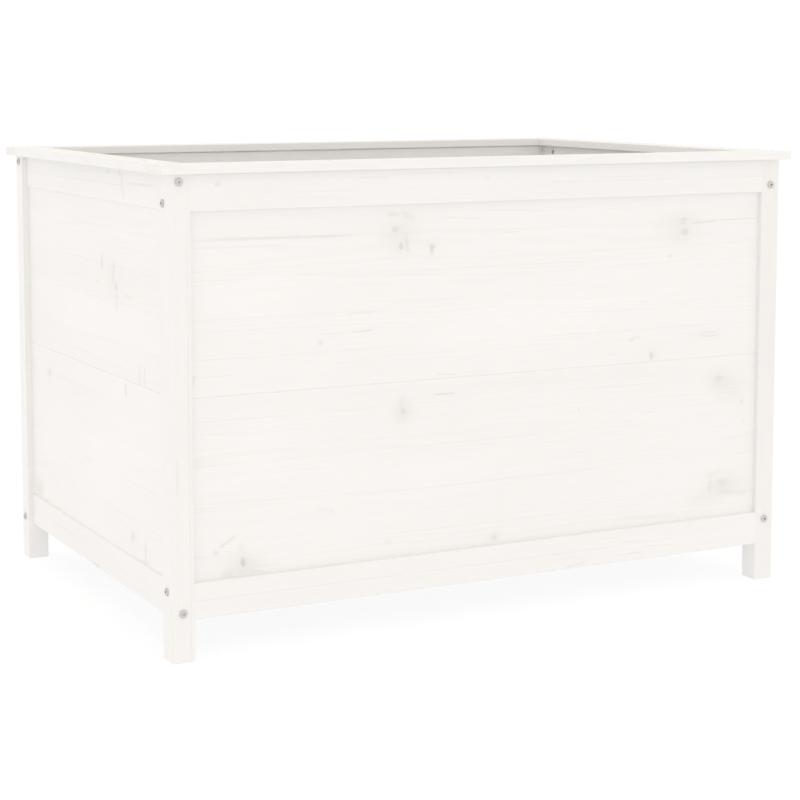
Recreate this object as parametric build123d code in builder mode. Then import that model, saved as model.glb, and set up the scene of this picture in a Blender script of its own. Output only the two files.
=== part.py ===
from build123d import *
import os

# Raised garden bed in white-painted pine: four square posts, four panelled walls,
# a flat rim lying on the posts, and a slatted floor hung between the bottom rails.
# Millimetres, +Z up.  Origin on the ground, under the middle of the bed.
# +X runs along the long front, to the right; +Y runs to the back.

os.makedirs("parts", exist_ok=True)

# ---------------------------------------------------------------- driving sizes
RIM_L, RIM_W, TOP_Z = 1195.0, 825.0, 780.0   # outside of the rim, height of its top face
RIM_T, RIM_B = 15.0, 58.0                    # rim board: thickness, breadth
OVER = 15.0                                  # the rim stands out past the posts
POST = 38.0                                  # square posts
RAIL_H = 58.0                                # height of every rail
RAIL_Z = 67.0                                # underside of the bottom rails
LONG_T = 38.0                                # long rails, flush with the posts
SIDE_IN, SIDE_T = 9.0, 20.0                  # short rails: set back, thickness
LONG_IN, SIDE_BD_IN = 8.0, 12.0              # set-back of the long and the short boards
BOARD_T = 14.0                               # wall boards
HOUSING = 6.0                                # depth of the housing in each rail
PLAY = 0.3                                   # play behind a board in its housing; it bears on the outer side
TONGUE_T, TONGUE_H = 4.6, 6.0                # tongue along the middle seam
ARRIS = 2.0                                  # rounded long edges

BOLT_EDGE_A, BOLT_EDGE_B = 12.0, 45.0        # bolt holes, from the outer edge of a rail
DOWEL_EDGE_A, DOWEL_EDGE_B = 37.0, 20.0      # dowels beside them
BOLT_R, BOLT_L = 3.0, 80.0                   # connector bolt shank
BOLT_HOLE_R = 3.5
HEAD_R, HEAD_T = 6.5, 2.6                    # flat round bolt head, standing proud
HEX_AF = 4.0                                 # hexagon socket, across the flats
NUT_R, NUT_L, NUT_BORE_R = 5.0, 14.0, 5.1    # barrel nut
NUT_BACK = 36.5                              # from the end of the rail to the nut
DOWEL_R, DOWEL_L, DOWEL_POST = 4.0, 30.0, 12.0
SCREW_R, SCREW_HEAD_R, PILOT_R = 2.0, 4.0, 2.05

LEDGER_D, LEDGER_H, LEDGER_L = 28.0, 18.0, 980.0
BEARER_B, BEARER_H = 38.0, 40.0
BEARER_X = (-466.0, -233.0, 0.0, 233.0, 466.0)
SLAT_T, SLAT_B, SLAT_N, SLAT_GAP = 15.0, 96.0, 7, 7.0
SLAT_L = 1102.0
CLEAT_B, CLEAT_T = 45.0, 16.0

# ---------------------------------------------------------------- derived places
HX, HY = (RIM_L - 2 * OVER) / 2, (RIM_W - 2 * OVER) / 2      # outside of the posts
POST_H = TOP_Z - RIM_T
IX, IY = HX - POST, HY - POST                                # inner faces of the posts
LOW0, LOW1 = RAIL_Z, RAIL_Z + RAIL_H                         # bottom rails
TOP0, TOP1 = POST_H - RAIL_H, POST_H                         # top rails
SEAM = (LOW1 + TOP0) / 2                                     # middle seam of every wall
MID = POST / 2                                               # bolts sit on the post's centre
LEDGER_TOP = LOW0 + LEDGER_H
FLOOR = LEDGER_TOP + BEARER_H                                # underside of the slats
FLOOR_TOP = FLOOR + SLAT_T
BOLT_Z = {"A": (LOW0 + BOLT_EDGE_A, TOP1 - BOLT_EDGE_A),
          "B": (LOW0 + BOLT_EDGE_B, TOP1 - BOLT_EDGE_B)}
DOWEL_Z = {"A": (LOW0 + DOWEL_EDGE_A, TOP1 - DOWEL_EDGE_A),
           "B": (LOW0 + DOWEL_EDGE_B, TOP1 - DOWEL_EDGE_B)}
TOP_ALIGN = (Align.CENTER, Align.CENTER, Align.MAX)


def save(piece, name):
    piece.part.label = name
    export_step(piece.part, f"parts/{name}.step")
    print(f"{name:28s} solids {len(piece.part.solids()):3d}  volume {piece.part.volume / 1000:9.1f} cm3")


def quarter(k, x, y):
    """Turn (x, y) by k quarter turns, anticlockwise seen from above."""
    for _ in range(k % 4):
        x, y = -y, x
    return x, y


# The four corners, going round anticlockwise from the front left.  Each corner's post is
# the same piece turned by a quarter: its A bolts run one way, its B bolts the other way.
CORNERS = [("front_left", -1, -1, 0), ("front_right", 1, -1, 1),
           ("back_right", 1, 1, 2), ("back_left", -1, 1, 3)]


def post_face(k, cx, cy, z, kind, outer=True):
    """Plane on a post face.  Kind A is crossed by the A bolts, kind B by the B bolts."""
    dx, dy = quarter(k, 0, -1) if kind == "A" else quarter(k, -1, 0)
    if not outer:
        dx, dy = -dx, -dy
    return Plane(origin=(cx + dx * MID, cy + dy * MID, z), x_dir=(0, 0, 1), z_dir=(dx, dy, 0))


# ---------------------------------------------------------------- posts
for where, sx, sy, k in CORNERS:
    cx, cy = sx * (HX - MID), sy * (HY - MID)
    with BuildPart() as post:
        with BuildSketch(Plane.XY) as square:
            with Locations((cx, cy)):
                Rectangle(POST, POST)
            # outermost and innermost arrises rounded, the two that lie beside the rails left square
            fillet([v for v in square.vertices() if (v.X - cx) * (v.Y - cy) * sx * sy > 0], radius=ARRIS)
        extrude(amount=POST_H)
        chamfer(post.faces().sort_by(Axis.Z)[0].edges(), length=1.5)
        for kind in ("A", "B"):
            for z in BOLT_Z[kind]:
                with Locations(post_face(k, cx, cy, z, kind)):
                    Hole(BOLT_HOLE_R, depth=POST)
            for z in DOWEL_Z[kind]:
                with Locations(post_face(k, cx, cy, z, kind, outer=False)):
                    Hole(DOWEL_R, depth=DOWEL_POST)
        # pilot hole of the rim's corner screw, clear of the top bolt
        with Locations(Location((cx + sx * 9.5, cy + sy * 9.5, POST_H))):
            Hole(PILOT_R, depth=25)
    save(post, f"{where}_post")

# ---------------------------------------------------------------- rails
# A rail's profile is drawn across it: u runs inwards from the outside of the posts.


def rail_outline(u0, u1, z0, z1, b0, b1, top):
    """Rail section with the housing for the boards along one edge."""
    if top:      # top rail, housing in its lower edge
        return [(u0, z0), (b0, z0), (b0, z0 + HOUSING), (b1 + PLAY, z0 + HOUSING),
                (b1 + PLAY, z0), (u1, z0), (u1, z1), (u0, z1)]
    return [(u0, z0), (u1, z0), (u1, z1), (b1 + PLAY, z1), (b1 + PLAY, z1 - HOUSING),
            (b0, z1 - HOUSING), (b0, z1), (u0, z1)]


# (name, wall, is it a top rail).  Looking along the wall's own direction, each rail has
# an A end and a B end, because each post is turned a quarter from the next.
WALLS = {
    # wall: (long?, side of the bed, end kind at the low coordinate, at the high coordinate)
    "front": (True, -1, "B", "A"),
    "back": (True, 1, "A", "B"),
    "left": (False, -1, "A", "B"),
    "right": (False, 1, "B", "A"),
}

for wall, (is_long, side, kind_lo, kind_hi) in WALLS.items():
    for level in ("bottom", "top"):
        z0, z1 = (LOW0, LOW1) if level == "bottom" else (TOP0, TOP1)
        li = 0 if level == "bottom" else 1
        if is_long:
            half, outer = IX, HY
            u0, u1, b0 = 0.0, LONG_T, LONG_IN
            drawing = Plane(origin=(-half, 0, 0), x_dir=(0, 1, 0), z_dir=(1, 0, 0))
        else:
            half, outer = IY, HX
            u0, u1, b0 = SIDE_IN, SIDE_IN + SIDE_T, SIDE_BD_IN
            drawing = Plane(origin=(0, half, 0), x_dir=(1, 0, 0), z_dir=(0, -1, 0))
        section = rail_outline(u0, u1, z0, z1, b0, b0 + BOARD_T, level == "top")
        section = [(side * (outer - u), z) for u, z in section]
        corners = [(side * (outer - u), z) for u in (u0, u1) for z in (z0, z1)]
        with BuildPart() as rail:
            with BuildSketch(drawing) as sk:
                with BuildLine():
                    Polyline(*section, close=True)
                make_face()
                rounded = [v for v in sk.vertices()
                           if any(abs(v.X - a) + abs(v.Y - b) < 0.01 for a, b in corners)]
                fillet(rounded, radius=ARRIS)
            extrude(amount=2 * half)
            for end, kind in ((-1, kind_lo), (1, kind_hi)):
                bz, dz = BOLT_Z[kind][li], DOWEL_Z[kind][li]
                across = side * (outer - MID)
                for z, r, depth in ((bz, BOLT_HOLE_R, 46.0), (dz, DOWEL_R, DOWEL_L - DOWEL_POST)):
                    if is_long:
                        mouth = Plane(origin=(end * half, across, z), x_dir=(0, 1, 0), z_dir=(end, 0, 0))
                    else:
                        mouth = Plane(origin=(across, end * half, z), x_dir=(1, 0, 0), z_dir=(0, end, 0))
                    with Locations(mouth):
                        Hole(r, depth=depth)
                # bore for the barrel nut, open on the inside of the bed
                deep = (u1 - MID) + NUT_L / 2 + 0.5
                inner = side * (outer - u1)
                if is_long:
                    mouth = Plane(origin=(end * (half - NUT_BACK), inner, bz), x_dir=(1, 0, 0), z_dir=(0, -side, 0))
                else:
                    mouth = Plane(origin=(inner, end * (half - NUT_BACK), bz), x_dir=(0, 1, 0), z_dir=(-side, 0, 0))
                with Locations(mouth):
                    Hole(NUT_BORE_R, depth=deep)
            if level == "top":      # pilot holes of the rim screws
                along = (-300.0, 0.0, 300.0) if is_long else (-250.0, 0.0, 250.0)
                for a in along:
                    p = (a, side * (outer - MID), TOP1) if is_long else (side * (outer - MID), a, TOP1)
                    with Locations(Location(p)):
                        Hole(PILOT_R, depth=25)
            elif is_long:           # pilot holes of the ledger screws
                for a in (-350.0, -117.0, 117.0, 350.0):
                    with Locations(Plane(origin=(a, side * IY, LOW0 + LEDGER_H / 2), x_dir=(1, 0, 0), z_dir=(0, -side, 0))):
                        Hole(PILOT_R, depth=17)
        save(rail, f"{wall}_{level}_rail")

# ---------------------------------------------------------------- wall boards
# Two wide boards per wall, tongued together at mid height, their outer edges in the rails.
CLEAT_X = (-(IX - CLEAT_B / 2), 0.0, IX - CLEAT_B / 2)
CLEAT_Y = (-(IY - CLEAT_B / 2), 0.0, IY - CLEAT_B / 2)
CLEAT_SCREW_Z = (185.0, 372.0, 460.0, 655.0)

for wall, (is_long, side, _, _) in WALLS.items():
    if is_long:
        half, outer, b0 = IX, HY, LONG_IN
        drawing = Plane(origin=(-half, 0, 0), x_dir=(0, 1, 0), z_dir=(1, 0, 0))
    else:
        half, outer, b0 = IY, HX, SIDE_BD_IN
        drawing = Plane(origin=(0, half, 0), x_dir=(1, 0, 0), z_dir=(0, -1, 0))
    b1 = b0 + BOARD_T
    m = (b0 + b1) / 2
    t, g = TONGUE_T / 2, TONGUE_T / 2 + 0.2
    c = 0.9                                   # small bevel along the seam
    lower = [(b0, LOW1 - HOUSING), (b1, LOW1 - HOUSING), (b1, SEAM - c), (b1 - c, SEAM),
             (m + t, SEAM), (m + t, SEAM + TONGUE_H), (m - t, SEAM + TONGUE_H), (m - t, SEAM),
             (b0 + c, SEAM), (b0, SEAM - c)]
    upper = [(b0, SEAM + c), (b0 + c, SEAM), (m - g, SEAM), (m - g, SEAM + TONGUE_H + 0.5),
             (m + g, SEAM + TONGUE_H + 0.5), (m + g, SEAM), (b1 - c, SEAM), (b1, SEAM + c),
             (b1, TOP0 + HOUSING), (b0, TOP0 + HOUSING)]
    for level, outline in (("lower", lower), ("upper", upper)):
        with BuildPart() as board:
            with BuildSketch(drawing):
                with BuildLine():
                    Polyline(*[(side * (outer - u), z) for u, z in outline], close=True)
                make_face()
            extrude(amount=2 * half)
            for a in (CLEAT_X if is_long else CLEAT_Y):
                for z in CLEAT_SCREW_Z:
                    if (z < SEAM) != (level == "lower"):
                        continue
                    inner = side * (outer - b1)
                    if is_long:
                        mouth = Plane(origin=(a, inner, z), x_dir=(1, 0, 0), z_dir=(0, -side, 0))
                    else:
                        mouth = Plane(origin=(inner, a, z), x_dir=(0, 1, 0), z_dir=(-side, 0, 0))
                    with Locations(mouth):
                        Hole(PILOT_R, depth=10)
        save(board, f"{wall}_{level}_board")

# ---------------------------------------------------------------- cleats
# Upright battens inside each wall: one at each end against the posts and one in the middle.
# They tie the two boards of a wall together across the seam.
for wall, (is_long, side, _, _) in WALLS.items():
    outer, b1 = (HY, LONG_IN + BOARD_T) if is_long else (HX, SIDE_BD_IN + BOARD_T)
    z0 = LOW1 if is_long else FLOOR_TOP + 1.0
    tags = ("left", "middle", "right") if is_long else ("front", "middle", "back")
    for tag, a in zip(tags, CLEAT_X if is_long else CLEAT_Y):
        u = side * (outer - b1 - CLEAT_T / 2)
        with BuildPart() as cleat:
            with BuildSketch(Plane.XY.offset(z0)):
                with Locations((a, u) if is_long else (u, a)):
                    if is_long:
                        Rectangle(CLEAT_B, CLEAT_T)
                    else:
                        Rectangle(CLEAT_T, CLEAT_B)
            extrude(amount=TOP0 - z0)
            inner_face = Axis.Y if is_long else Axis.X
            faces = cleat.faces().sort_by(inner_face)
            chamfer((faces[0] if side > 0 else faces[-1]).edges().filter_by(Axis.Z), length=1.5)
            inner = side * (outer - b1 - CLEAT_T)
            for z in CLEAT_SCREW_Z:
                if is_long:
                    mouth = Plane(origin=(a, inner, z), x_dir=(1, 0, 0), z_dir=(0, -side, 0))
                else:
                    mouth = Plane(origin=(inner, a, z), x_dir=(0, 1, 0), z_dir=(-side, 0, 0))
                with Locations(mouth):
                    CounterSinkHole(PILOT_R, SCREW_HEAD_R + 0.1, depth=CLEAT_T, counter_sink_angle=90)
        save(cleat, f"{wall}_{tag}_cleat")

# ---------------------------------------------------------------- rim
RIM_SCREWS = {
    "front": [(-(HX - MID) - 9.5, -(HY - MID) - 9.5), (-300, -(HY - MID)), (0, -(HY - MID)),
              (300, -(HY - MID)), ((HX - MID) + 9.5, -(HY - MID) - 9.5)],
    "left": [(-(HX - MID), -250), (-(HX - MID), 0), (-(HX - MID), 250)],
}
RIM_SCREWS["back"] = [(x, -y) for x, y in RIM_SCREWS["front"]]
RIM_SCREWS["right"] = [(-x, y) for x, y in RIM_SCREWS["left"]]

for wall, (is_long, side, _, _) in WALLS.items():
    with BuildPart() as rim:
        with BuildSketch(Plane.XY.offset(POST_H)):
            if is_long:
                with Locations((0, side * (RIM_W - RIM_B) / 2)):
                    Rectangle(RIM_L, RIM_B)
            else:
                with Locations((side * (RIM_L - RIM_B) / 2, 0)):
                    Rectangle(RIM_B, RIM_W - 2 * RIM_B)
        extrude(amount=RIM_T)
        fillet(rim.edges().filter_by(Axis.X if is_long else Axis.Y), radius=ARRIS)
        if is_long:
            ends = rim.faces().filter_by(Axis.X)
            chamfer(ends.edges(), length=0.6)
        with Locations(*[Location((x, y, TOP_Z)) for x, y in RIM_SCREWS[wall]]):
            CounterSinkHole(PILOT_R, SCREW_HEAD_R + 0.1, depth=RIM_T, counter_sink_angle=90)
    save(rim, f"{wall}_rim_board")

# ---------------------------------------------------------------- floor
LEDGER_SCREW_X = (-350.0, -117.0, 117.0, 350.0)
for wall, side in (("front", -1), ("back", 1)):
    with BuildPart() as ledger:
        with BuildSketch(Plane.XY.offset(LOW0)):
            with Locations((0, side * (IY - LEDGER_D / 2))):
                Rectangle(LEDGER_L, LEDGER_D)
        extrude(amount=LEDGER_H)
        chamfer(ledger.edges().filter_by(Axis.X).sort_by(Axis.Y)[-2 if side < 0 else 0:][:2], length=1.5)
        for a in LEDGER_SCREW_X:
            with Locations(Plane(origin=(a, side * (IY - LEDGER_D), LOW0 + LEDGER_H / 2),
                                 x_dir=(1, 0, 0), z_dir=(0, -side, 0))):
                CounterSinkHole(PILOT_R, SCREW_HEAD_R + 0.1, depth=LEDGER_D, counter_sink_angle=90)
        for x in BEARER_X:
            with Locations(Location((x, side * (IY - LEDGER_D / 2), LEDGER_TOP))):
                Hole(PILOT_R, depth=11)
    save(ledger, f"{wall}_floor_ledger")

SLAT_Y = [(i - (SLAT_N - 1) / 2) * (SLAT_B + SLAT_GAP) for i in range(SLAT_N)]
SLAT_SCREW_X = (BEARER_X[0], BEARER_X[2], BEARER_X[4])

for i, x in enumerate(BEARER_X, 1):
    with BuildPart() as bearer:
        with BuildSketch(Plane.XY.offset(LEDGER_TOP)):
            with Locations((x, 0)):
                Rectangle(BEARER_B, 2 * IY)
        extrude(amount=BEARER_H)
        chamfer(bearer.faces().sort_by(Axis.Z)[0].edges().filter_by(Axis.Y), length=2)
        with Locations(*[Location((x, s * (IY - LEDGER_D / 2), FLOOR)) for s in (-1, 1)]):
            CounterSinkHole(PILOT_R, SCREW_HEAD_R + 0.1, depth=BEARER_H, counter_sink_angle=90)
        if x in SLAT_SCREW_X:
            with Locations(*[Location((x, y, FLOOR)) for y in SLAT_Y]):
                Hole(PILOT_R, depth=16)
    save(bearer, f"floor_bearer_{i}")

for i, y in enumerate(SLAT_Y, 1):
    with BuildPart() as slat:
        with BuildSketch(Plane.XY.offset(FLOOR)):
            with Locations((0, y)):
                Rectangle(SLAT_L, SLAT_B)
        extrude(amount=SLAT_T)
        chamfer(slat.edges().filter_by(Axis.X), length=1.5)
        with Locations(*[Location((x, y, FLOOR_TOP)) for x in SLAT_SCREW_X]):
            CounterSinkHole(PILOT_R, SCREW_HEAD_R + 0.1, depth=SLAT_T, counter_sink_angle=90)
    save(slat, f"floor_slat_{i}")

# ---------------------------------------------------------------- corner bolts, nuts, dowels
# Bolt: flat round head on the outside of the post, shank through the post into the rail.
with BuildPart() as corner_bolts:
    for where, sx, sy, k in CORNERS:
        cx, cy = sx * (HX - MID), sy * (HY - MID)
        for kind in ("A", "B"):
            for z in BOLT_Z[kind]:
                seat = post_face(k, cx, cy, z, kind)
                with BuildSketch(seat):
                    Circle(BOLT_R)
                extrude(amount=-BOLT_L)
                with BuildSketch(seat):
                    Circle(HEAD_R)
                extrude(amount=HEAD_T - 0.8)
                with BuildSketch(seat.offset(HEAD_T - 0.8)):
                    Circle(HEAD_R)
                extrude(amount=0.8, taper=45)
                with BuildSketch(seat.offset(HEAD_T)):
                    RegularPolygon(radius=HEX_AF / 2, side_count=6, major_radius=False)
                extrude(amount=-2.2, mode=Mode.SUBTRACT)
save(corner_bolts, "corner_bolts")

with BuildPart() as barrel_nuts:
    for where, sx, sy, k in CORNERS:
        cx, cy = sx * (HX - MID), sy * (HY - MID)
        for kind in ("A", "B"):
            dx, dy = quarter(k, 0, 1) if kind == "A" else quarter(k, 1, 0)   # inwards along the bolt
            reach = MID + NUT_BACK
            # outside of the bed, seen from this wall: the other bolt's outer side
            ox, oy = quarter(k, -1, 0) if kind == "A" else quarter(k, 0, -1)
            for z in BOLT_Z[kind]:
                nx, ny = cx + dx * reach, cy + dy * reach
                foot = Plane(origin=(nx + ox * NUT_L / 2, ny + oy * NUT_L / 2, z),
                             x_dir=(0, 0, 1), z_dir=(-ox, -oy, 0))
                with BuildSketch(foot):
                    Circle(NUT_R)
                extrude(amount=NUT_L)
                # screwdriver slot on the end that faces the inside
                with BuildSketch(foot.offset(NUT_L)):
                    Rectangle(1.4, 2 * NUT_R + 1)
                extrude(amount=-1.6, mode=Mode.SUBTRACT)
                with BuildSketch(Plane(origin=(nx - dx * 10, ny - dy * 10, z), x_dir=(0, 0, 1), z_dir=(dx, dy, 0))):
                    Circle(BOLT_R + 0.05)
                extrude(amount=20, mode=Mode.SUBTRACT)
save(barrel_nuts, "barrel_nuts")

with BuildPart() as rail_dowels:
    for where, sx, sy, k in CORNERS:
        cx, cy = sx * (HX - MID), sy * (HY - MID)
        for kind in ("A", "B"):
            for z in DOWEL_Z[kind]:
                seat = post_face(k, cx, cy, z, kind, outer=False).offset(-DOWEL_POST)
                with BuildSketch(seat):
                    Circle(DOWEL_R - 0.05)
                extrude(amount=DOWEL_L)
    chamfer(rail_dowels.edges().filter_by(GeomType.CIRCLE), length=0.8)
save(rail_dowels, "rail_dowels")


# ---------------------------------------------------------------- wood screws
def screws(seats, length, recess=True):
    """Countersunk screws, heads flush with the seat planes, pointing against their normals."""
    with Locations(*seats):
        Cylinder(SCREW_R, length - 4, align=TOP_ALIGN)
        Cone(bottom_radius=SCREW_R, top_radius=SCREW_HEAD_R, height=SCREW_HEAD_R - SCREW_R, align=TOP_ALIGN)
    with Locations(*[s.offset(-(length - 4)) for s in seats]):
        Cone(bottom_radius=0.3, top_radius=SCREW_R, height=4, align=TOP_ALIGN)
    if recess:
        with Locations(*seats):
            Box(4.4, 0.9, 1.5, align=TOP_ALIGN, mode=Mode.SUBTRACT)
            Box(0.9, 4.4, 1.5, align=TOP_ALIGN, mode=Mode.SUBTRACT)


with BuildPart() as rim_screws:
    screws([Plane(origin=(x, y, TOP_Z)) for pts in RIM_SCREWS.values() for x, y in pts], 40)
save(rim_screws, "rim_screws")

with BuildPart() as slat_screws:
    screws([Plane(origin=(x, y, FLOOR_TOP)) for x in SLAT_SCREW_X for y in SLAT_Y], 30)
save(slat_screws, "floor_slat_screws")

with BuildPart() as bearer_screws:
    screws([Plane(origin=(x, s * (IY - LEDGER_D / 2), FLOOR)) for x in BEARER_X for s in (-1, 1)], 50, recess=False)
save(bearer_screws, "floor_bearer_screws")

with BuildPart() as ledger_screws:
    screws([Plane(origin=(x, s * (IY - LEDGER_D), LOW0 + LEDGER_H / 2), x_dir=(1, 0, 0), z_dir=(0, -s, 0))
            for x in LEDGER_SCREW_X for s in (-1, 1)], 45)
save(ledger_screws, "floor_ledger_screws")

cleat_seats = []
for wall, (is_long, side, _, _) in WALLS.items():
    outer, b1 = (HY, LONG_IN + BOARD_T) if is_long else (HX, SIDE_BD_IN + BOARD_T)
    inner = side * (outer - b1 - CLEAT_T)
    for a in (CLEAT_X if is_long else CLEAT_Y):
        for z in CLEAT_SCREW_Z:
            if is_long:
                cleat_seats.append(Plane(origin=(a, inner, z), x_dir=(1, 0, 0), z_dir=(0, -side, 0)))
            else:
                cleat_seats.append(Plane(origin=(inner, a, z), x_dir=(0, 1, 0), z_dir=(-side, 0, 0)))
with BuildPart() as cleat_screws:
    screws(cleat_seats, 26)
save(cleat_screws, "cleat_screws")
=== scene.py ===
import math

import bpy
from mathutils import Euler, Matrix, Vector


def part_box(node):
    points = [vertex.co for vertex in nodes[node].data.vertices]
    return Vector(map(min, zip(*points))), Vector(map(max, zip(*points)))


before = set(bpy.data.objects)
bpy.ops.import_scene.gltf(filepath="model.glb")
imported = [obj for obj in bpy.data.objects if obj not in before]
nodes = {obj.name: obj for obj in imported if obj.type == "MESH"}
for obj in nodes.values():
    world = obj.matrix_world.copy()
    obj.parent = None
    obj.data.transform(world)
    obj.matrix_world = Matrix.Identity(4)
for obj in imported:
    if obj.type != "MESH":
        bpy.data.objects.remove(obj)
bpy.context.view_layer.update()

# Raised garden bed in white-painted pine.  The CAD pieces are shown as they are; this script
# gives each of them its own board of painted pine, cut from a ring pattern in three dimensions,
# and its steel, and sets up the floor, the light and the camera.

scene = bpy.context.scene

# ---------------------------------------------------------------- writing node trees


class Tree:
    """Short names for the nodes of one tree."""

    def __init__(self, tree):
        self.tree = tree

    def node(self, kind, **props):
        n = self.tree.nodes.new("ShaderNode" + kind)
        for k, v in props.items():
            setattr(n, k, v)
        return n

    def put(self, socket, value):
        if value is None:
            return
        if isinstance(value, bpy.types.NodeSocket):
            self.tree.links.new(value, socket)
        else:
            socket.default_value = value

    def m(self, op, a, b=None, c=None, clamp=False):
        n = self.node("Math", operation=op, use_clamp=clamp)
        for s, v in zip(n.inputs, (a, b, c)):
            self.put(s, v)
        return n.outputs[0]

    def add(self, *terms):
        out = terms[0]
        for t in terms[1:]:
            out = self.m("ADD", out, t)
        return out

    def mul(self, a, b):
        return self.m("MULTIPLY", a, b)

    def v(self, op, a, b=None, scale=None):
        n = self.node("VectorMath", operation=op)
        self.put(n.inputs[0], a)
        if b is not None:
            self.put(n.inputs[1], b)
        if scale is not None:
            self.put(n.inputs["Scale"], scale)
        return n.outputs["Value"] if op in ("LENGTH", "DOT_PRODUCT", "DISTANCE") else n.outputs["Vector"]

    def xyz(self, vec):
        n = self.node("SeparateXYZ")
        self.put(n.inputs[0], vec)
        return n.outputs[0], n.outputs[1], n.outputs[2]

    def vec(self, x, y, z):
        n = self.node("CombineXYZ")
        for s, v in zip(n.inputs, (x, y, z)):
            self.put(s, v)
        return n.outputs[0]

    def rgb(self, col):
        n = self.node("SeparateColor")
        self.put(n.inputs[0], col)
        return n.outputs[0], n.outputs[1], n.outputs[2]

    def step(self, x, lo, hi, a=0.0, b=1.0):
        """a at lo, b at hi, smooth between them."""
        n = self.node("MapRange", interpolation_type="SMOOTHSTEP", clamp=True)
        for s, v in zip(n.inputs, (x, lo, hi, a, b)):
            self.put(s, v)
        return n.outputs[0]

    def noise(self, vec, detail=2.0, rough=0.5, out="Fac", scale=1.0):
        n = self.node("TexNoise", noise_dimensions="3D")
        self.put(n.inputs["Vector"], vec)
        self.put(n.inputs["Scale"], scale)
        self.put(n.inputs["Detail"], detail)
        self.put(n.inputs["Roughness"], rough)
        return n.outputs[out]

    def white(self, w):
        n = self.node("TexWhiteNoise", noise_dimensions="1D")
        self.put(n.inputs["W"], w)
        return n.outputs["Value"], n.outputs["Color"]

    def mix(self, fac, a, b):
        n = self.node("Mix", data_type="RGBA")
        self.put(n.inputs[0], fac)
        self.put(n.inputs[6], a)
        self.put(n.inputs[7], b)
        return n.outputs[2]

    def gauss(self, d, k):
        """exp(-k d d)"""
        return self.m("EXPONENT", self.mul(self.mul(d, d), -k))

    def use(self, group, **values):
        n = self.node("Group")
        n.node_tree = group
        for k, v in values.items():
            self.put(n.inputs[k.replace("_", " ")], v)
        return n


def new_group(name, inputs, outputs):
    tree = bpy.data.node_groups.new(name, "ShaderNodeTree")
    for label, kind in inputs:
        tree.interface.new_socket(name=label, in_out="INPUT", socket_type="NodeSocket" + kind)
    for label, kind in outputs:
        tree.interface.new_socket(name=label, in_out="OUTPUT", socket_type="NodeSocket" + kind)
    return tree, tree.nodes.new("NodeGroupInput"), tree.nodes.new("NodeGroupOutput")


# ---------------------------------------------------------------- painted pine
# Coordinates in every pine material are metres: x along the grain, y across the board,
# z through it, from the middle of the piece.


def make_knot_group():
    """One knot: how it pushes the grain aside, its heart, its dark rim and the shade round it."""
    tree, gi, go = new_group("pine_knot",
                             [("P", "Vector"), ("Centre", "Vector"), ("Radius", "Float"), ("Slim", "Float"), ("On", "Float")],
                             [("Push", "Float"), ("Heart", "Float"), ("Rim", "Float"), ("Shade", "Float")])
    t = Tree(tree)
    d = t.v("MULTIPLY", t.v("SUBTRACT", gi.outputs["P"], gi.outputs["Centre"]), t.vec(gi.outputs["Slim"], 1.0, 0.0))
    _, dy, _ = t.xyz(d)
    dist = t.m("DIVIDE", t.v("LENGTH", d), gi.outputs["Radius"])
    on = gi.outputs["On"]
    t.put(go.inputs["Push"], t.mul(t.mul(dy, t.gauss(dist, 0.16)), on))
    t.put(go.inputs["Heart"], t.mul(t.step(dist, 1.4, 0.45), on))
    t.put(go.inputs["Rim"], t.mul(t.gauss(t.m("SUBTRACT", dist, 1.02), 30.0), on))
    t.put(go.inputs["Shade"], t.mul(t.gauss(dist, 0.09), on))
    return tree


KNOT = make_knot_group()


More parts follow.
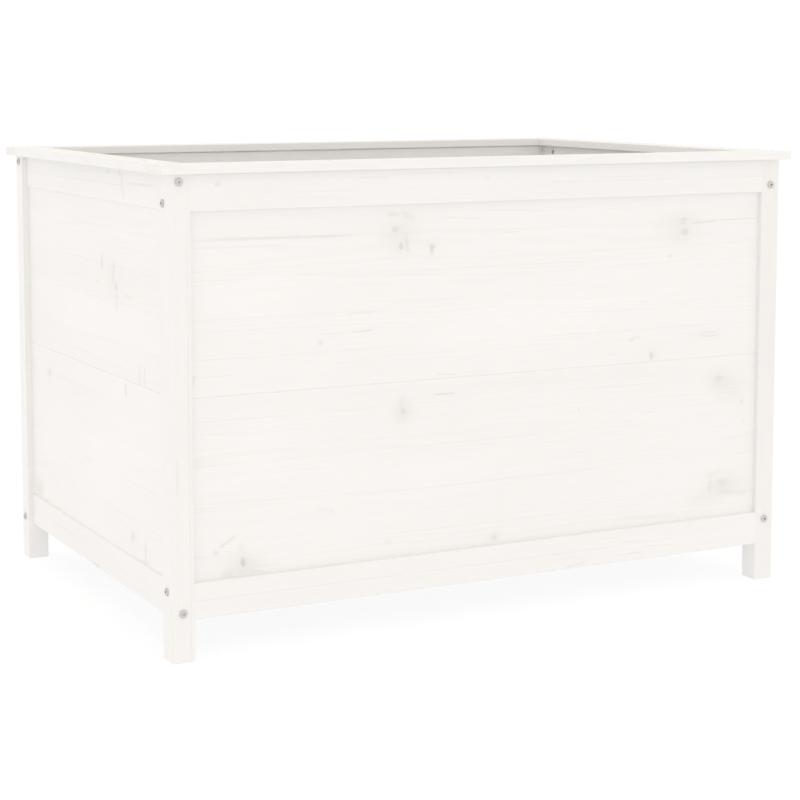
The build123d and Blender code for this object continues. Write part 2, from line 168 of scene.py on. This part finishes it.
def make_pine_group():
    tree, gi, go = new_group(
        "painted_pine",
        [("P", "Vector"), ("Seed", "Float"), ("Lam Width", "Float"), ("Phase", "Float"), ("Knots", "Float"),
         ("Push", "Float"), ("Dark", "Float"), ("Pit", "Float"), ("Edge", "Float"), ("End", "Float")],
        [("Color", "Color"), ("Roughness", "Float"), ("Height", "Float")])
    t = Tree(tree)
    P, seed = gi.outputs["P"], gi.outputs["Seed"]
    shift = t.vec(t.mul(seed, 7.31), t.mul(seed, 3.77), t.mul(seed, 1.93))
    uneven = t.v("SCALE", t.v("SUBTRACT", t.noise(t.v("ADD", t.v("SCALE", P, scale=130.0), shift), 2.0, 0.6, "Color"),
                              (0.5, 0.5, 0.5)), scale=0.0035)
    bent = t.v("ADD", P, uneven)

    # scattered knots, one at most in each cell
    cells = (3.4, 10.5, 0.0)
    offset = t.vec(t.mul(seed, 5.17), t.mul(seed, 2.39), 0.0)
    vor = t.node("TexVoronoi", voronoi_dimensions="2D", feature="F1")
    t.put(vor.inputs["Vector"], t.v("ADD", t.v("MULTIPLY", P, cells), offset))
    t.put(vor.inputs["Scale"], 1.0)
    t.put(vor.inputs["Randomness"], 0.75)
    centre = t.v("MULTIPLY", t.v("SUBTRACT", vor.outputs["Position"], offset), (1 / cells[0], 1 / cells[1], 0.0))
    r, g, b = t.rgb(vor.outputs["Color"])
    on = t.m("LESS_THAN", r, gi.outputs["Knots"])
    radius = t.add(0.0022, t.mul(t.mul(g, g), 0.0065))
    knot = t.use(KNOT, P=bent, Centre=centre, Radius=radius, Slim=t.add(0.7, t.mul(b, 0.6)), On=on)
    heart, rim, shade = (knot.outputs[k] for k in ("Heart", "Rim", "Shade"))

    # the growth rings, bent round the knots
    x, y, z = t.xyz(P)
    y = t.m("SUBTRACT", t.m("SUBTRACT", y, knot.outputs["Push"]), gi.outputs["Push"])
    grain = t.vec(x, y, z)
    width, phase = gi.outputs["Lam Width"], gi.outputs["Phase"]
    lam = t.m("FLOOR", t.m("DIVIDE", t.m("ADD", y, phase), width))
    _, lam_rnd = t.white(t.add(t.mul(seed, 13.7), lam))
    lr, lg, lb = t.rgb(lam_rnd)
    in_lam = t.m("SUBTRACT", t.m("ADD", y, phase), t.mul(t.m("ADD", lam, 0.5), width))
    slow = t.noise(t.v("ADD", t.v("MULTIPLY", grain, (1.3, 9.0, 9.0)), shift), 3.0, 0.5, "Color")
    slow_x, slow_y, _ = t.rgb(slow)
    lam_slide = t.mul(lb, 9.0)
    waver = t.noise(t.v("ADD", t.vec(t.add(t.mul(x, 3.2), lam_slide), t.mul(y, 34.0), t.mul(z, 34.0)), shift), 2.0)
    yy = t.add(in_lam, t.mul(t.m("SUBTRACT", lr, 0.5), 0.085), t.mul(t.m("SUBTRACT", slow_x, 0.5), 0.035))
    zz = t.add(z, 0.019, t.mul(lg, 0.05), t.mul(t.m("SUBTRACT", slow_y, 0.5), 0.022))
    ring_r = t.add(t.m("SQRT", t.add(t.mul(yy, yy), t.mul(zz, zz))), t.mul(x, t.mul(t.m("SUBTRACT", lb, 0.5), 0.016)))
    spacing = t.add(0.0027, t.mul(lg, 0.0019))
    years = t.add(t.m("DIVIDE", ring_r, spacing), t.mul(waver, 0.9))
    age = t.m("FRACT", years)
    year_rnd, _ = t.white(t.add(t.m("FLOOR", years), t.mul(lam, 3.1), seed))
    late = t.mul(t.mul(t.step(age, 0.30, 0.90), t.step(age, 1.0, 0.94)), t.add(0.25, t.mul(year_rnd, 0.75)))

    # fibres, resin lines, brush marks and the uneven thickness of the paint
    fine = t.noise(t.v("ADD", t.v("MULTIPLY", grain, (16.0, 620.0, 620.0)), shift), 2.0)
    hair = t.noise(t.v("ADD", t.v("MULTIPLY", grain, (7.0, 210.0, 210.0)), shift), 1.0)
    hairs = t.step(hair, 0.64, 0.78)
    brush = t.noise(t.v("ADD", t.v("MULTIPLY", P, (3.0, 95.0, 95.0)), shift), 2.0, 0.6)
    cloud = t.noise(t.v("ADD", t.v("MULTIPLY", P, (2.4, 8.0, 8.0)), shift), 3.0, 0.55)
    speck = t.noise(t.v("ADD", t.v("SCALE", P, scale=420.0), shift), 1.0)
    specks = t.step(speck, 0.77, 0.84)
    from_joint = t.m("SUBTRACT", t.mul(width, 0.5), t.m("ABSOLUTE", in_lam))
    joint = t.mul(t.step(from_joint, 0.0013, 0.0002), t.step(cloud, 0.42, 0.55))

    k = t.add(
        t.mul(late, 0.026),
        t.mul(t.m("SUBTRACT", fine, 0.5), 0.028),
        t.mul(hairs, 0.022),
        t.mul(specks, 0.03),
        t.mul(t.m("SUBTRACT", brush, 0.5), 0.022),
        t.mul(t.m("SUBTRACT", cloud, 0.5), 0.060),
        t.mul(t.m("SUBTRACT", lr, 0.5), 0.012),
        t.mul(joint, 0.05),
        t.mul(heart, 0.18), t.mul(rim, 0.06), t.mul(shade, 0.045),
        gi.outputs["Dark"],
        t.mul(gi.outputs["Edge"], 0.014),
        t.mul(gi.outputs["End"], 0.035),
        0.02)
    k = t.m("MAXIMUM", t.m("MINIMUM", k, 1.0), 0.0)
    warm = t.mix(t.m("MULTIPLY", k, 1.6, clamp=True), (0.881, 0.875, 0.867, 1.0), (0.765, 0.75, 0.725, 1.0))
    color = t.mix(k, warm, (0.38, 0.37, 0.355, 1.0))
    t.put(go.inputs["Color"], color)

    rough = t.add(0.50, t.mul(late, 0.05), t.mul(t.m("SUBTRACT", cloud, 0.5), 0.22), t.mul(t.m("SUBTRACT", fine, 0.5), 0.10),
                  t.mul(gi.outputs["End"], 0.12), t.mul(gi.outputs["Edge"], 0.06), t.mul(heart, -0.08))
    t.put(go.inputs["Roughness"], t.m("MINIMUM", t.m("MAXIMUM", rough, 0.25), 0.9))

    # heights in millimetres
    height = t.add(
        t.mul(late, 0.055), t.mul(fine, 0.035), t.mul(hairs, -0.05), t.mul(brush, 0.045), t.mul(cloud, 0.10),
        t.mul(joint, -0.10), t.mul(heart, 0.10), t.mul(rim, -0.16), t.mul(gi.outputs["Pit"], -0.20),
        t.mul(gi.outputs["Edge"], -0.03), t.mul(specks, -0.05))
    t.put(go.inputs["Height"], height)
    return tree


PINE = make_pine_group()


# how far the white paint lets each kind of mark show
SHOWS = {"knot": 0.38, "line": 0.46, "spot": 0.42, "shade": 0.66}


def mark_mask(t, P, mark, mid):
    """The soft shape of one listed streak or shade.  Sizes in millimetres."""
    kind, a, b, rx, ry, strength = mark[:6]
    turn = math.radians(mark[6]) if len(mark) > 6 else 0.0
    c, s = math.cos(turn), math.sin(turn)
    rx, ry = rx / 1000, ry / 1000
    d = t.v("SUBTRACT", P, (a / 1000 - mid[0], b / 1000 - mid[1], 0.0))
    u = t.v("DOT_PRODUCT", d, (c / rx, s / rx, 0.0))
    v = t.v("DOT_PRODUCT", d, (-s / ry, c / ry, 0.0))
    if kind == "line":      # tapers to both ends
        au, av = t.m("ABSOLUTE", u), t.m("ABSOLUTE", v)
        mask = t.mul(t.step(au, 1.0, 0.45), t.step(av, 1.15, 0.25))
    elif kind == "shade":   # no edge at all
        mask = t.m("EXPONENT", t.mul(t.add(t.mul(u, u), t.mul(v, v)), -1.0))
    else:                   # "spot", a small dark place with a soft edge
        mask = t.step(t.m("SQRT", t.add(t.mul(u, u), t.mul(v, v))), 1.3, 0.55)
    return t.mul(mask, strength * SHOWS[kind])


def pine(name, grain, across, through, seed, lam=1.0, phase=0.0, knots=0.16, marks=(), twist=0.0):
    """A material for one CAD piece.  grain, across and through say which axes these are."""
    obj = nodes[name]
    lo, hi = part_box(name)
    mid = [(lo[i] + hi[i]) / 2 for i in range(3)]
    half = [(hi[i] - lo[i]) / 2 for i in range(3)]
    mat = bpy.data.materials.new("pine_" + name)
    mat.use_nodes = True
    mat.node_tree.nodes.clear()
    t = Tree(mat.node_tree)
    where = t.node("TexCoord").outputs["Object"]
    rel = t.v("SUBTRACT", where, tuple(mid))
    xyz = t.xyz(rel)
    a, b, c = xyz[grain], xyz[across], xyz[through]
    P = t.vec(a, b, c)
    if twist:
        cs, sn = math.cos(twist), math.sin(twist)
        P = t.vec(a, t.v("DOT_PRODUCT", P, (0.0, cs, sn)), t.v("DOT_PRODUCT", P, (0.0, -sn, cs)))

    # worn edges: the second smallest distance to the faces of the piece's box
    dist = [t.m("SUBTRACT", half[i], t.m("ABSOLUTE", xyz[i])) for i in range(3)]
    least = t.m("MINIMUM", t.m("MINIMUM", dist[0], dist[1]), dist[2])
    most = t.m("MAXIMUM", t.m("MAXIMUM", dist[0], dist[1]), dist[2])
    second = t.m("SUBTRACT", t.m("SUBTRACT", t.add(dist[0], dist[1], dist[2]), least), most)
    wear = t.noise(t.v("ADD", t.v("SCALE", rel, scale=55.0), (seed * 1.7, seed, 0.0)), 3.0, 0.6)
    edge = t.mul(t.step(t.m("SUBTRACT", second, t.mul(wear, 0.0030)), 0.0014, -0.0004), t.step(wear, 0.35, 0.62))
    normal = t.xyz(t.node("TexCoord").outputs["Normal"])[grain]
    end = t.step(t.m("ABSOLUTE", normal), 0.75, 0.95)

    push, dark, pit = 0.0, 0.0, 0.0
    if marks:
        ragged = t.noise(t.v("ADD", t.v("MULTIPLY", rel, (140.0, 140.0, 140.0)), (seed, 0.0, seed)), 2.0, 0.6, "Color")
        off = t.v("SUBTRACT", ragged, (0.5, 0.5, 0.5))
        P_marks = t.v("ADD", t.vec(a, b, 0.0), t.v("SCALE", off, scale=0.0085))
        P_lines = t.v("ADD", t.vec(a, b, 0.0), t.v("SCALE", off, scale=0.0026))
        m_mid = (mid[grain], mid[across])
        pushes, darks, pits = [], [], []
        for mark in marks:
            if mark[0] == "knot":
                _, ka, kb, radius, slim, strength = mark[:6]
                strength *= SHOWS["knot"]
                kn = t.use(KNOT, P=P_marks, Centre=(ka / 1000 - m_mid[0], kb / 1000 - m_mid[1], 0.0),
                           Radius=radius / 1000, Slim=slim or 0.8, On=1.0)
                pushes.append(kn.outputs["Push"])
                darks += [t.mul(kn.outputs["Heart"], strength), t.mul(kn.outputs["Rim"], strength * 0.35),
                          t.mul(kn.outputs["Shade"], strength * 0.16)]
                pits.append(t.mul(kn.outputs["Rim"], 0.9))
            else:
                mask = mark_mask(t, P_lines if mark[0] == "line" else P_marks, mark, m_mid)
                darks.append(mask)
                if mark[0] == "line":
                    pits.append(mask)
        push = t.add(*pushes) if pushes else 0.0
        dark = t.add(*darks) if darks else 0.0
        pit = t.add(*pits) if pits else 0.0

    wood = t.use(PINE, P=P, Seed=seed, Lam_Width=lam, Phase=phase, Knots=knots, Push=push, Dark=dark, Pit=pit,
                 Edge=edge, End=end)
    bump = t.node("Bump")
    t.put(bump.inputs["Height"], wood.outputs["Height"])
    bump.inputs["Distance"].default_value = 0.001
    bump.inputs["Strength"].default_value = 1.0
    shader = t.node("BsdfPrincipled")
    t.put(shader.inputs["Base Color"], wood.outputs["Color"])
    t.put(shader.inputs["Roughness"], wood.outputs["Roughness"])
    t.put(shader.inputs["Normal"], bump.outputs["Normal"])
    shader.inputs["Specular IOR Level"].default_value = 0.35
    out = t.node("OutputMaterial")
    t.put(out.inputs["Surface"], shader.outputs["BSDF"])
    for s in obj.material_slots:
        s.material = mat
    return mat


X, Y, Z = 0, 1, 2

# Knots and streaks of the two walls that the camera sees, and one painted shade over the whole front right post: (kind,
# along, up, half length or radius, half height, strength, turn in degrees).  Millimetres.
MARKS = {
    "front_upper_board": [
        ("knot", -177, 638, 5.6, 1.5, 0.52), ("knot", -188, 667, 5.0, 0, 0.30), ("spot", -190, 691, 12, 4, 0.20),
        ("spot", -165, 688, 14, 5, 0.15, -25), ("line", -166, 641, 5, 18, 0.18, 10), ("shade", -178, 662, 36, 34, 0.09),
        ("knot", -120, 634, 6.0, 1.35, 0.46), ("spot", -120, 628, 4, 9, 0.18),
        ("line", -395, 661, 165, 3.4, 0.24, -0.6), ("line", -480, 649, 120, 1.6, 0.10),
        ("knot", 381, 661, 5.0, 0, 0.28), ("knot", 384, 641, 5.6, 0, 0.34), ("shade", 372, 650, 40, 26, 0.09),
        ("line", 425, 657.5, 34, 2.2, 0.30, 2), ("line", 500, 660, 62, 1.3, 0.22), ("line", 424, 637, 22, 1.0, 0.14),
        ("line", 40, 690, 74, 1.4, 0.17, -2), ("line", -62, 681, 46, 1.3, 0.16, -4), ("line", 26, 654, 30, 1.3, 0.20, 2),
        ("line", 150, 691, 48, 1.2, 0.12), ("line", 236, 686, 30, 1.2, 0.12), ("line", 310, 690, 26, 1.2, 0.13),
        ("spot", 354, 600, 5, 3, 0.22), ("line", 10, 622, 36, 0.9, 0.09), ("line", 130, 634, 60, 0.9, 0.08),
        ("spot", 276, 457, 7, 3, 0.18, 30), ("spot", 287, 461, 6, 2.4, 0.20, 8), ("line", 443, 461, 16, 1.7, 0.26),
        ("line", 450, 453.5, 14, 1.6, 0.24), ("line", 430, 455, 12, 3, 0.12), ("shade", 445, 456, 30, 9, 0.05),
        ("knot", 317, 426, 5.6, 1.1, 0.44),
        ("spot", -322, 490, 5, 4.5, 0.28), ("line", -247, 534, 32, 1.3, 0.24, 1), ("line", -246, 504, 27, 2.0, 0.30, 2),
        ("line", -300, 503, 30, 2.2, 0.10), ("line", -505, 448, 36, 1.1, 0.20), ("spot", -540, 444, 3, 9, 0.22),
        ("line", -92, 423, 26, 1.8, 0.22, -6), ("line", -40, 424, 30, 1.0, 0.16),
        ("line", 120, 560, 90, 1.0, 0.07), ("line", -60, 575, 70, 1.0, 0.06), ("line", 210, 512, 110, 1.2, 0.07),
        ("shade", -440, 560, 90, 36, -0.05), ("shade", 60, 500, 160, 40, -0.03)],
    "front_lower_board": [
        ("line", -97, 390, 27, 2.0, 0.34), ("knot", -173, 368, 5.0, 1.2, 0.20), ("shade", -173, 366, 17, 19, 0.14),
        ("line", -176, 386, 5, 12, 0.10, -20), ("shade", 463, 374, 21, 16, 0.13), ("spot", 461, 375, 9, 7, 0.12),
        ("shade", 490, 352, 32, 24, 0.09), ("spot", 514, 331, 4, 4, 0.26), ("spot", 519, 295, 5, 4, 0.14),
        ("knot", 474, 186, 7.5, 1.2, 0.12), ("shade", 476, 180, 40, 19, 0.15), ("line", 447, 184, 5, 19, 0.16, -6),
        ("line", 500, 165, 42, 6, 0.14, -6), ("line", 455, 205, 24, 7, 0.10, 12), ("shade", 430, 160, 38, 14, 0.08),
        ("knot", -459, 147, 6.4, 1.7, 0.56), ("shade", -456, 141, 32, 18, 0.17), ("spot", -486, 132, 12, 7, 0.16),
        ("line", -485, 183, 22, 3.0, 0.26, 33), ("spot", -505, 168, 4, 4, 0.28), ("line", -432, 130, 18, 3, 0.18, -10),
        ("spot", -462, 172, 5, 8, 0.12), ("line", -414, 138, 16, 1.3, 0.16),
        ("knot", 1, 137, 4.0, 0, 0.26), ("shade", 0, 138, 12, 11, 0.08),
        ("line", -318, 218, 18, 1.2, 0.18), ("spot", -303, 214, 5, 4, 0.12), ("spot", -201, 152, 7, 6, 0.12),
        ("line", -440, 244, 70, 1.0, 0.09), ("spot", 167, 344, 2.6, 4, 0.22), ("line", 312, 327, 17, 1.4, 0.18),
        ("line", 268, 315, 15, 1.2, 0.15), ("line", 170, 268, 26, 2.0, 0.09), ("line", 318, 139, 74, 4.5, 0.10, -5),
        ("line", 60, 226, 120, 1.0, 0.06), ("line", -120, 300, 140, 1.1, 0.05), ("line", 250, 250, 120, 1.0, 0.05),
        ("shade", -430, 330, 120, 60, -0.035), ("shade", -90, 250, 130, 45, -0.03), ("shade", 40, 398, 300, 12, 0.03)],
    "front_bottom_rail": [
        ("line", 283, 101, 38, 1.5, 0.22, -3), ("line", 276, 80, 30, 1.4, 0.20), ("line", 158, 73, 24, 1.6, 0.24, 8),
        ("line", 330, 88, 40, 1.4, 0.16, -4), ("line", 230, 112, 36, 1.0, 0.10), ("shade", 300, 96, 60, 12, -0.04)],
    "front_top_rail": [
        ("line", -230, 752, 34, 2.2, 0.12), ("line", -120, 757, 60, 1.4, 0.12), ("spot", -500, 748, 6, 4, 0.20),
        ("line", 260, 742, 90, 1.2, 0.10), ("line", -330, 724, 60, 1.2, 0.08), ("spot", -20, 748, 7, 3, 0.12)],
    "left_upper_board": [
        ("spot", -54, 602, 6, 15, 0.30, 12), ("spot", -112, 592, 6, 20, 0.24, 10), ("spot", -125, 566, 7, 8, 0.30),
        ("line", -128, 542, 7, 20, 0.16, 6), ("shade", -110, 570, 50, 34, 0.05), ("line", -30, 566, 16, 3, 0.14),
        ("line", -185, 556, 26, 4, 0.12), ("line", -232, 428, 5, 26, 0.18), ("line", -256, 430, 5, 26, 0.18),
        ("line", 60, 437, 60, 2.4, 0.10), ("line", -10, 470, 80, 1.6, 0.08), ("line", 150, 655, 100, 1.5, 0.07),
        ("shade", 20, 500, 140, 34, -0.04)],
    "left_lower_board": [
        ("knot", 249, 371, 6.0, 0, 0.32), ("spot", -163, 399, 6, 13, 0.28, -12), ("shade", 323, 140, 24, 16, 0.20),
        ("line", 300, 122, 60, 2.4, 0.16, -16), ("knot", -190, 157, 6.5, 0, 0.34), ("line", -250, 148, 8, 22, 0.16, 6),
        ("line", -240, 126, 34, 6, 0.20, -14), ("line", 200, 128, 70, 2.0, 0.12, -10),
        ("line", -40, 250, 120, 1.4, 0.06), ("line", 90, 300, 110, 1.4, 0.06), ("shade", -60, 250, 150, 60, -0.035)],
    "left_top_rail": [
        ("spot", -99, 756, 6, 4, 0.32), ("spot", -157, 757, 6, 4.5, 0.30), ("line", -128, 757, 34, 1.4, 0.16),
        ("line", -168, 742, 6, 16, 0.20, 12), ("line", -172, 722, 7, 14, 0.16), ("line", -250, 742, 76, 2.8, 0.18, -1),
        ("line", 20, 752, 60, 1.4, 0.12)],
    "left_bottom_rail": [
        ("spot", -8, 70, 22, 4, 0.26, -8), ("line", 170, 98, 90, 1.6, 0.10), ("line", -240, 104, 60, 1.6, 0.10)],
    "front_left_post": [
        ("line", 296, -571, 34, 2.4, 0.14), ("line", 430, -552, 60, 1.2, 0.08)],
    "front_right_post": [
        # painted shade: the first mark darkens the whole front right post and its leg a little, as if less light fell
        # on that corner
        ("shade", 380, 570, 900, 60, 0.06), ("line", 430, 570, 70, 1.2, 0.08), ("line", 250, 556, 60, 1.2, 0.08)],
}

seed = 1.0
for name in sorted(nodes):
    seed += 1.618
    kind = name.split("_")[-1]
    marks = MARKS.get(name, ())
    if name.endswith("_board") and "_rim_" not in name:
        long_wall = name.startswith(("front", "back"))
        lo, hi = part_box(name)
        # glued up from narrow lamellae, the joints counted from the board's middle
        lam = 0.062 if name != "front_lower_board" else 0.071
        phase = (lo[2] + hi[2]) / 2 - 0.6605 + 3 * lam if name == "front_upper_board" else 0.021 + 0.007 * (seed % 3)
        pine(name, X if long_wall else Y, Z, Y if long_wall else X, seed, lam, phase, 0.0 if marks else 0.32, marks)
    elif name.endswith("_rim_board"):
        pine(name, X if name.startswith(("front", "back")) else Y, Y if name.startswith(("front", "back")) else X, Z,
             seed, knots=0.12)
    elif kind == "rail":
        pine(name, X if name.startswith(("front", "back")) else Y, Z, Y if name.startswith(("front", "back")) else X,
             seed, knots=0.0 if marks else 0.16, marks=marks)
    elif kind == "post":
        pine(name, Z, X, Y, seed, knots=0.0 if marks else 0.07, twist=0.6, marks=marks)
    elif kind == "cleat":
        pine(name, Z, X if name.startswith(("front", "back")) else Y, Y if name.startswith(("front", "back")) else X,
             seed, knots=0.22)
    elif kind == "ledger":
        pine(name, X, Y, Z, seed, knots=0.2, twist=0.5)
    elif "_bearer_" in name and not name.endswith("screws"):
        pine(name, Y, X, Z, seed, knots=0.2, twist=0.4)
    elif "_slat_" in name and not name.endswith("screws"):
        pine(name, X, Y, Z, seed, knots=0.26)

# ---------------------------------------------------------------- steel and beech


def steel(name, heads=None, base=(0.52, 0.515, 0.505), rough=0.34):
    """Bright zinc plate: mottled, finely scratched, and turned rings on the flat heads."""
    mat = bpy.data.materials.new("zinc_" + name)
    mat.use_nodes = True
    mat.node_tree.nodes.clear()
    t = Tree(mat.node_tree)
    P = t.node("TexCoord").outputs["Object"]
    mottle = t.noise(t.v("SCALE", P, scale=260.0), 3.0, 0.6)
    crystal = t.node("TexVoronoi", voronoi_dimensions="3D", feature="F1")
    t.put(crystal.inputs["Vector"], t.v("SCALE", P, scale=900.0))
    scratch = t.noise(t.v("MULTIPLY", P, (2600.0, 2100.0, 340.0)), 2.0)
    stain = t.step(t.noise(t.v("SCALE", P, scale=95.0), 4.0, 0.7), 0.55, 0.72)
    cr, _, _ = t.rgb(crystal.outputs["Color"])
    height = t.add(t.mul(scratch, 0.012), t.mul(cr, 0.006), t.mul(mottle, 0.01))
    if heads:
        x, y, z = t.xyz(P)
        ax, ay = t.m("ABSOLUTE", x), t.m("ABSOLUTE", y)
        rings = None
        for flat, side in ((ay, ax), (ax, ay)):
            offset = t.m("SUBTRACT", side, heads[0] if side is ax else heads[1])
            for hz in heads[2]:
                dz = t.m("SUBTRACT", z, hz)
                d = t.m("SQRT", t.add(t.mul(offset, offset), t.mul(dz, dz)))
                d = t.m("ADD", d, t.m("MULTIPLY", t.m("GREATER_THAN", flat, 9.0), 0.0))
                rings = d if rings is None else t.m("MINIMUM", rings, d)
        turned = t.m("SINE", t.mul(rings, 2 * math.pi / 0.00042))
        height = t.add(height, t.mul(turned, 0.004))
    k = t.add(t.mul(mottle, 0.5), t.mul(cr, 0.2), t.mul(stain, 0.25))
    color = t.mix(k, tuple(v * 1.12 for v in base) + (1.0,), tuple(v * 0.72 for v in base) + (1.0,))
    bump = t.node("Bump")
    t.put(bump.inputs["Height"], height)
    bump.inputs["Distance"].default_value = 0.001
    shader = t.node("BsdfPrincipled")
    shader.inputs["Metallic"].default_value = 1.0
    t.put(shader.inputs["Base Color"], color)
    t.put(shader.inputs["Roughness"], t.add(rough - 0.06, t.mul(mottle, 0.12), t.mul(stain, 0.16)))
    t.put(shader.inputs["Normal"], bump.outputs["Normal"])
    t.put(t.node("OutputMaterial").inputs["Surface"], shader.outputs["BSDF"])
    for s in nodes[name].material_slots:
        s.material = mat


steel("corner_bolts", heads=(0.5635, 0.3785, (0.079, 0.112, 0.720, 0.753)), base=(0.64, 0.63, 0.615), rough=0.42)
for n in ("barrel_nuts", "rim_screws", "floor_slat_screws", "floor_bearer_screws", "floor_ledger_screws",
          "cleat_screws"):
    steel(n, base=(0.56, 0.55, 0.535))


def beech(name):
    """Bare beech: pinkish, with short dark flecks along the grain and fluted by the glue."""
    mat = bpy.data.materials.new("beech_" + name)
    mat.use_nodes = True
    mat.node_tree.nodes.clear()
    t = Tree(mat.node_tree)
    P = t.node("TexCoord").outputs["Object"]
    fleck = t.noise(t.v("SCALE", P, scale=900.0), 2.0)
    tone = t.noise(t.v("SCALE", P, scale=60.0), 3.0)
    k = t.add(t.mul(t.step(fleck, 0.58, 0.72), 0.4), t.mul(tone, 0.5))
    bump = t.node("Bump")
    t.put(bump.inputs["Height"], fleck)
    bump.inputs["Distance"].default_value = 0.00005
    shader = t.node("BsdfPrincipled")
    t.put(shader.inputs["Base Color"], t.mix(k, (0.62, 0.42, 0.25, 1.0), (0.42, 0.25, 0.13, 1.0)))
    t.put(shader.inputs["Roughness"], t.add(0.5, t.mul(tone, 0.2)))
    t.put(shader.inputs["Normal"], bump.outputs["Normal"])
    t.put(t.node("OutputMaterial").inputs["Surface"], shader.outputs["BSDF"])
    for s in nodes[name].material_slots:
        s.material = mat


beech("rail_dowels")

# ---------------------------------------------------------------- floor


def make_floor():
    """A wide pale disc, so pale that it runs into the background."""
    rings, spokes = (0.0, 0.8, 1.6, 3.2, 8.0, 20.0, 60.0), 64
    verts, faces = [(0.0, 0.0, 0.0)], []
    for r in rings[1:]:
        verts += [(r * math.cos(2 * math.pi * i / spokes), r * math.sin(2 * math.pi * i / spokes), 0.0)
                  for i in range(spokes)]
    for i in range(spokes):
        faces.append((0, 1 + i, 1 + (i + 1) % spokes))
    for k in range(len(rings) - 2):
        a, b = 1 + k * spokes, 1 + (k + 1) * spokes
        for i in range(spokes):
            j = (i + 1) % spokes
            faces.append((a + i, b + i, b + j, a + j))
    mesh = bpy.data.meshes.new("studio_floor")
    mesh.from_pydata(verts, [], faces)
    floor = bpy.data.objects.new("studio_floor", mesh)
    scene.collection.objects.link(floor)
    mat = bpy.data.materials.new("studio_floor")
    mat.use_nodes = True
    mat.node_tree.nodes.clear()
    t = Tree(mat.node_tree)
    paper = t.noise(t.v("SCALE", t.node("TexCoord").outputs["Object"], scale=5.0), 2.0)
    diffuse = t.node("BsdfDiffuse")
    t.put(diffuse.inputs["Color"], t.mix(paper, (0.25, 0.25, 0.25, 1.0), (0.27, 0.27, 0.27, 1.0)))
    glow = t.node("Emission")
    glow.inputs["Color"].default_value = (0.995, 0.995, 1.0, 1.0)
    glow.inputs["Strength"].default_value = 0.768
    both = t.node("AddShader")
    t.put(both.inputs[0], diffuse.outputs[0])
    t.put(both.inputs[1], glow.outputs[0])
    t.put(t.node("OutputMaterial").inputs["Surface"], both.outputs[0])
    mesh.materials.append(mat)
    return floor


make_floor()

# ---------------------------------------------------------------- light
# An even white room, slightly warm, and two wide soft boxes.

world = bpy.data.worlds.new("studio")
scene.world = world
world.use_nodes = True
world.node_tree.nodes.clear()
w = Tree(world.node_tree)
back = w.node("Background")
back.inputs["Color"].default_value = (1.0, 0.964, 0.924, 1.0)
back.inputs["Strength"].default_value = 1.09
w.put(w.node("OutputWorld").inputs["Surface"], back.outputs[0])


def soft_box(name, place, aim, size, power):
    data = bpy.data.lights.new(name, "AREA")
    data.shape = "RECTANGLE"
    data.size, data.size_y = size
    data.energy = power
    lamp = bpy.data.objects.new(name, data)
    lamp.location = place
    direction = [a - p for a, p in zip(aim, place)]
    yaw = math.atan2(direction[0], direction[1])
    tilt = math.atan2(direction[2], math.hypot(direction[0], direction[1]))
    lamp.rotation_euler = Euler((math.pi / 2 + tilt, 0.0, -yaw), "XYZ")
    scene.collection.objects.link(lamp)


soft_box("soft_box_left", (-3.6, -2.6, 1.3), (0.0, 0.0, 0.35), (2.4, 1.8), 3.6)
soft_box("soft_box_right", (2.2, -4.2, 1.2), (0.0, 0.0, 0.35), (2.4, 1.8), 2.4)

scene.view_settings.view_transform = "Standard"
scene.view_settings.look = "None"
scene.view_settings.exposure = 0.0
scene.view_settings.gamma = 1.0

# ---------------------------------------------------------------- camera
cam_data = bpy.data.cameras.new("camera")
cam_data.sensor_fit = "HORIZONTAL"
cam_data.sensor_width = 36.0
cam_data.lens = 1966.6 * 36.0 / 800.0
cam_data.shift_x = 0.0
cam_data.shift_y = -0.155
cam_data.clip_start, cam_data.clip_end = 0.05, 200.0
cam_data.dof.use_dof = False
camera = bpy.data.objects.new("camera", cam_data)
camera.location = (-1.64459, -3.21255, 0.92101)
camera.rotation_euler = Euler((math.pi / 2 - 0.10364, -0.00065, -0.47882), "XYZ")
scene.collection.objects.link(camera)
scene.camera = camera
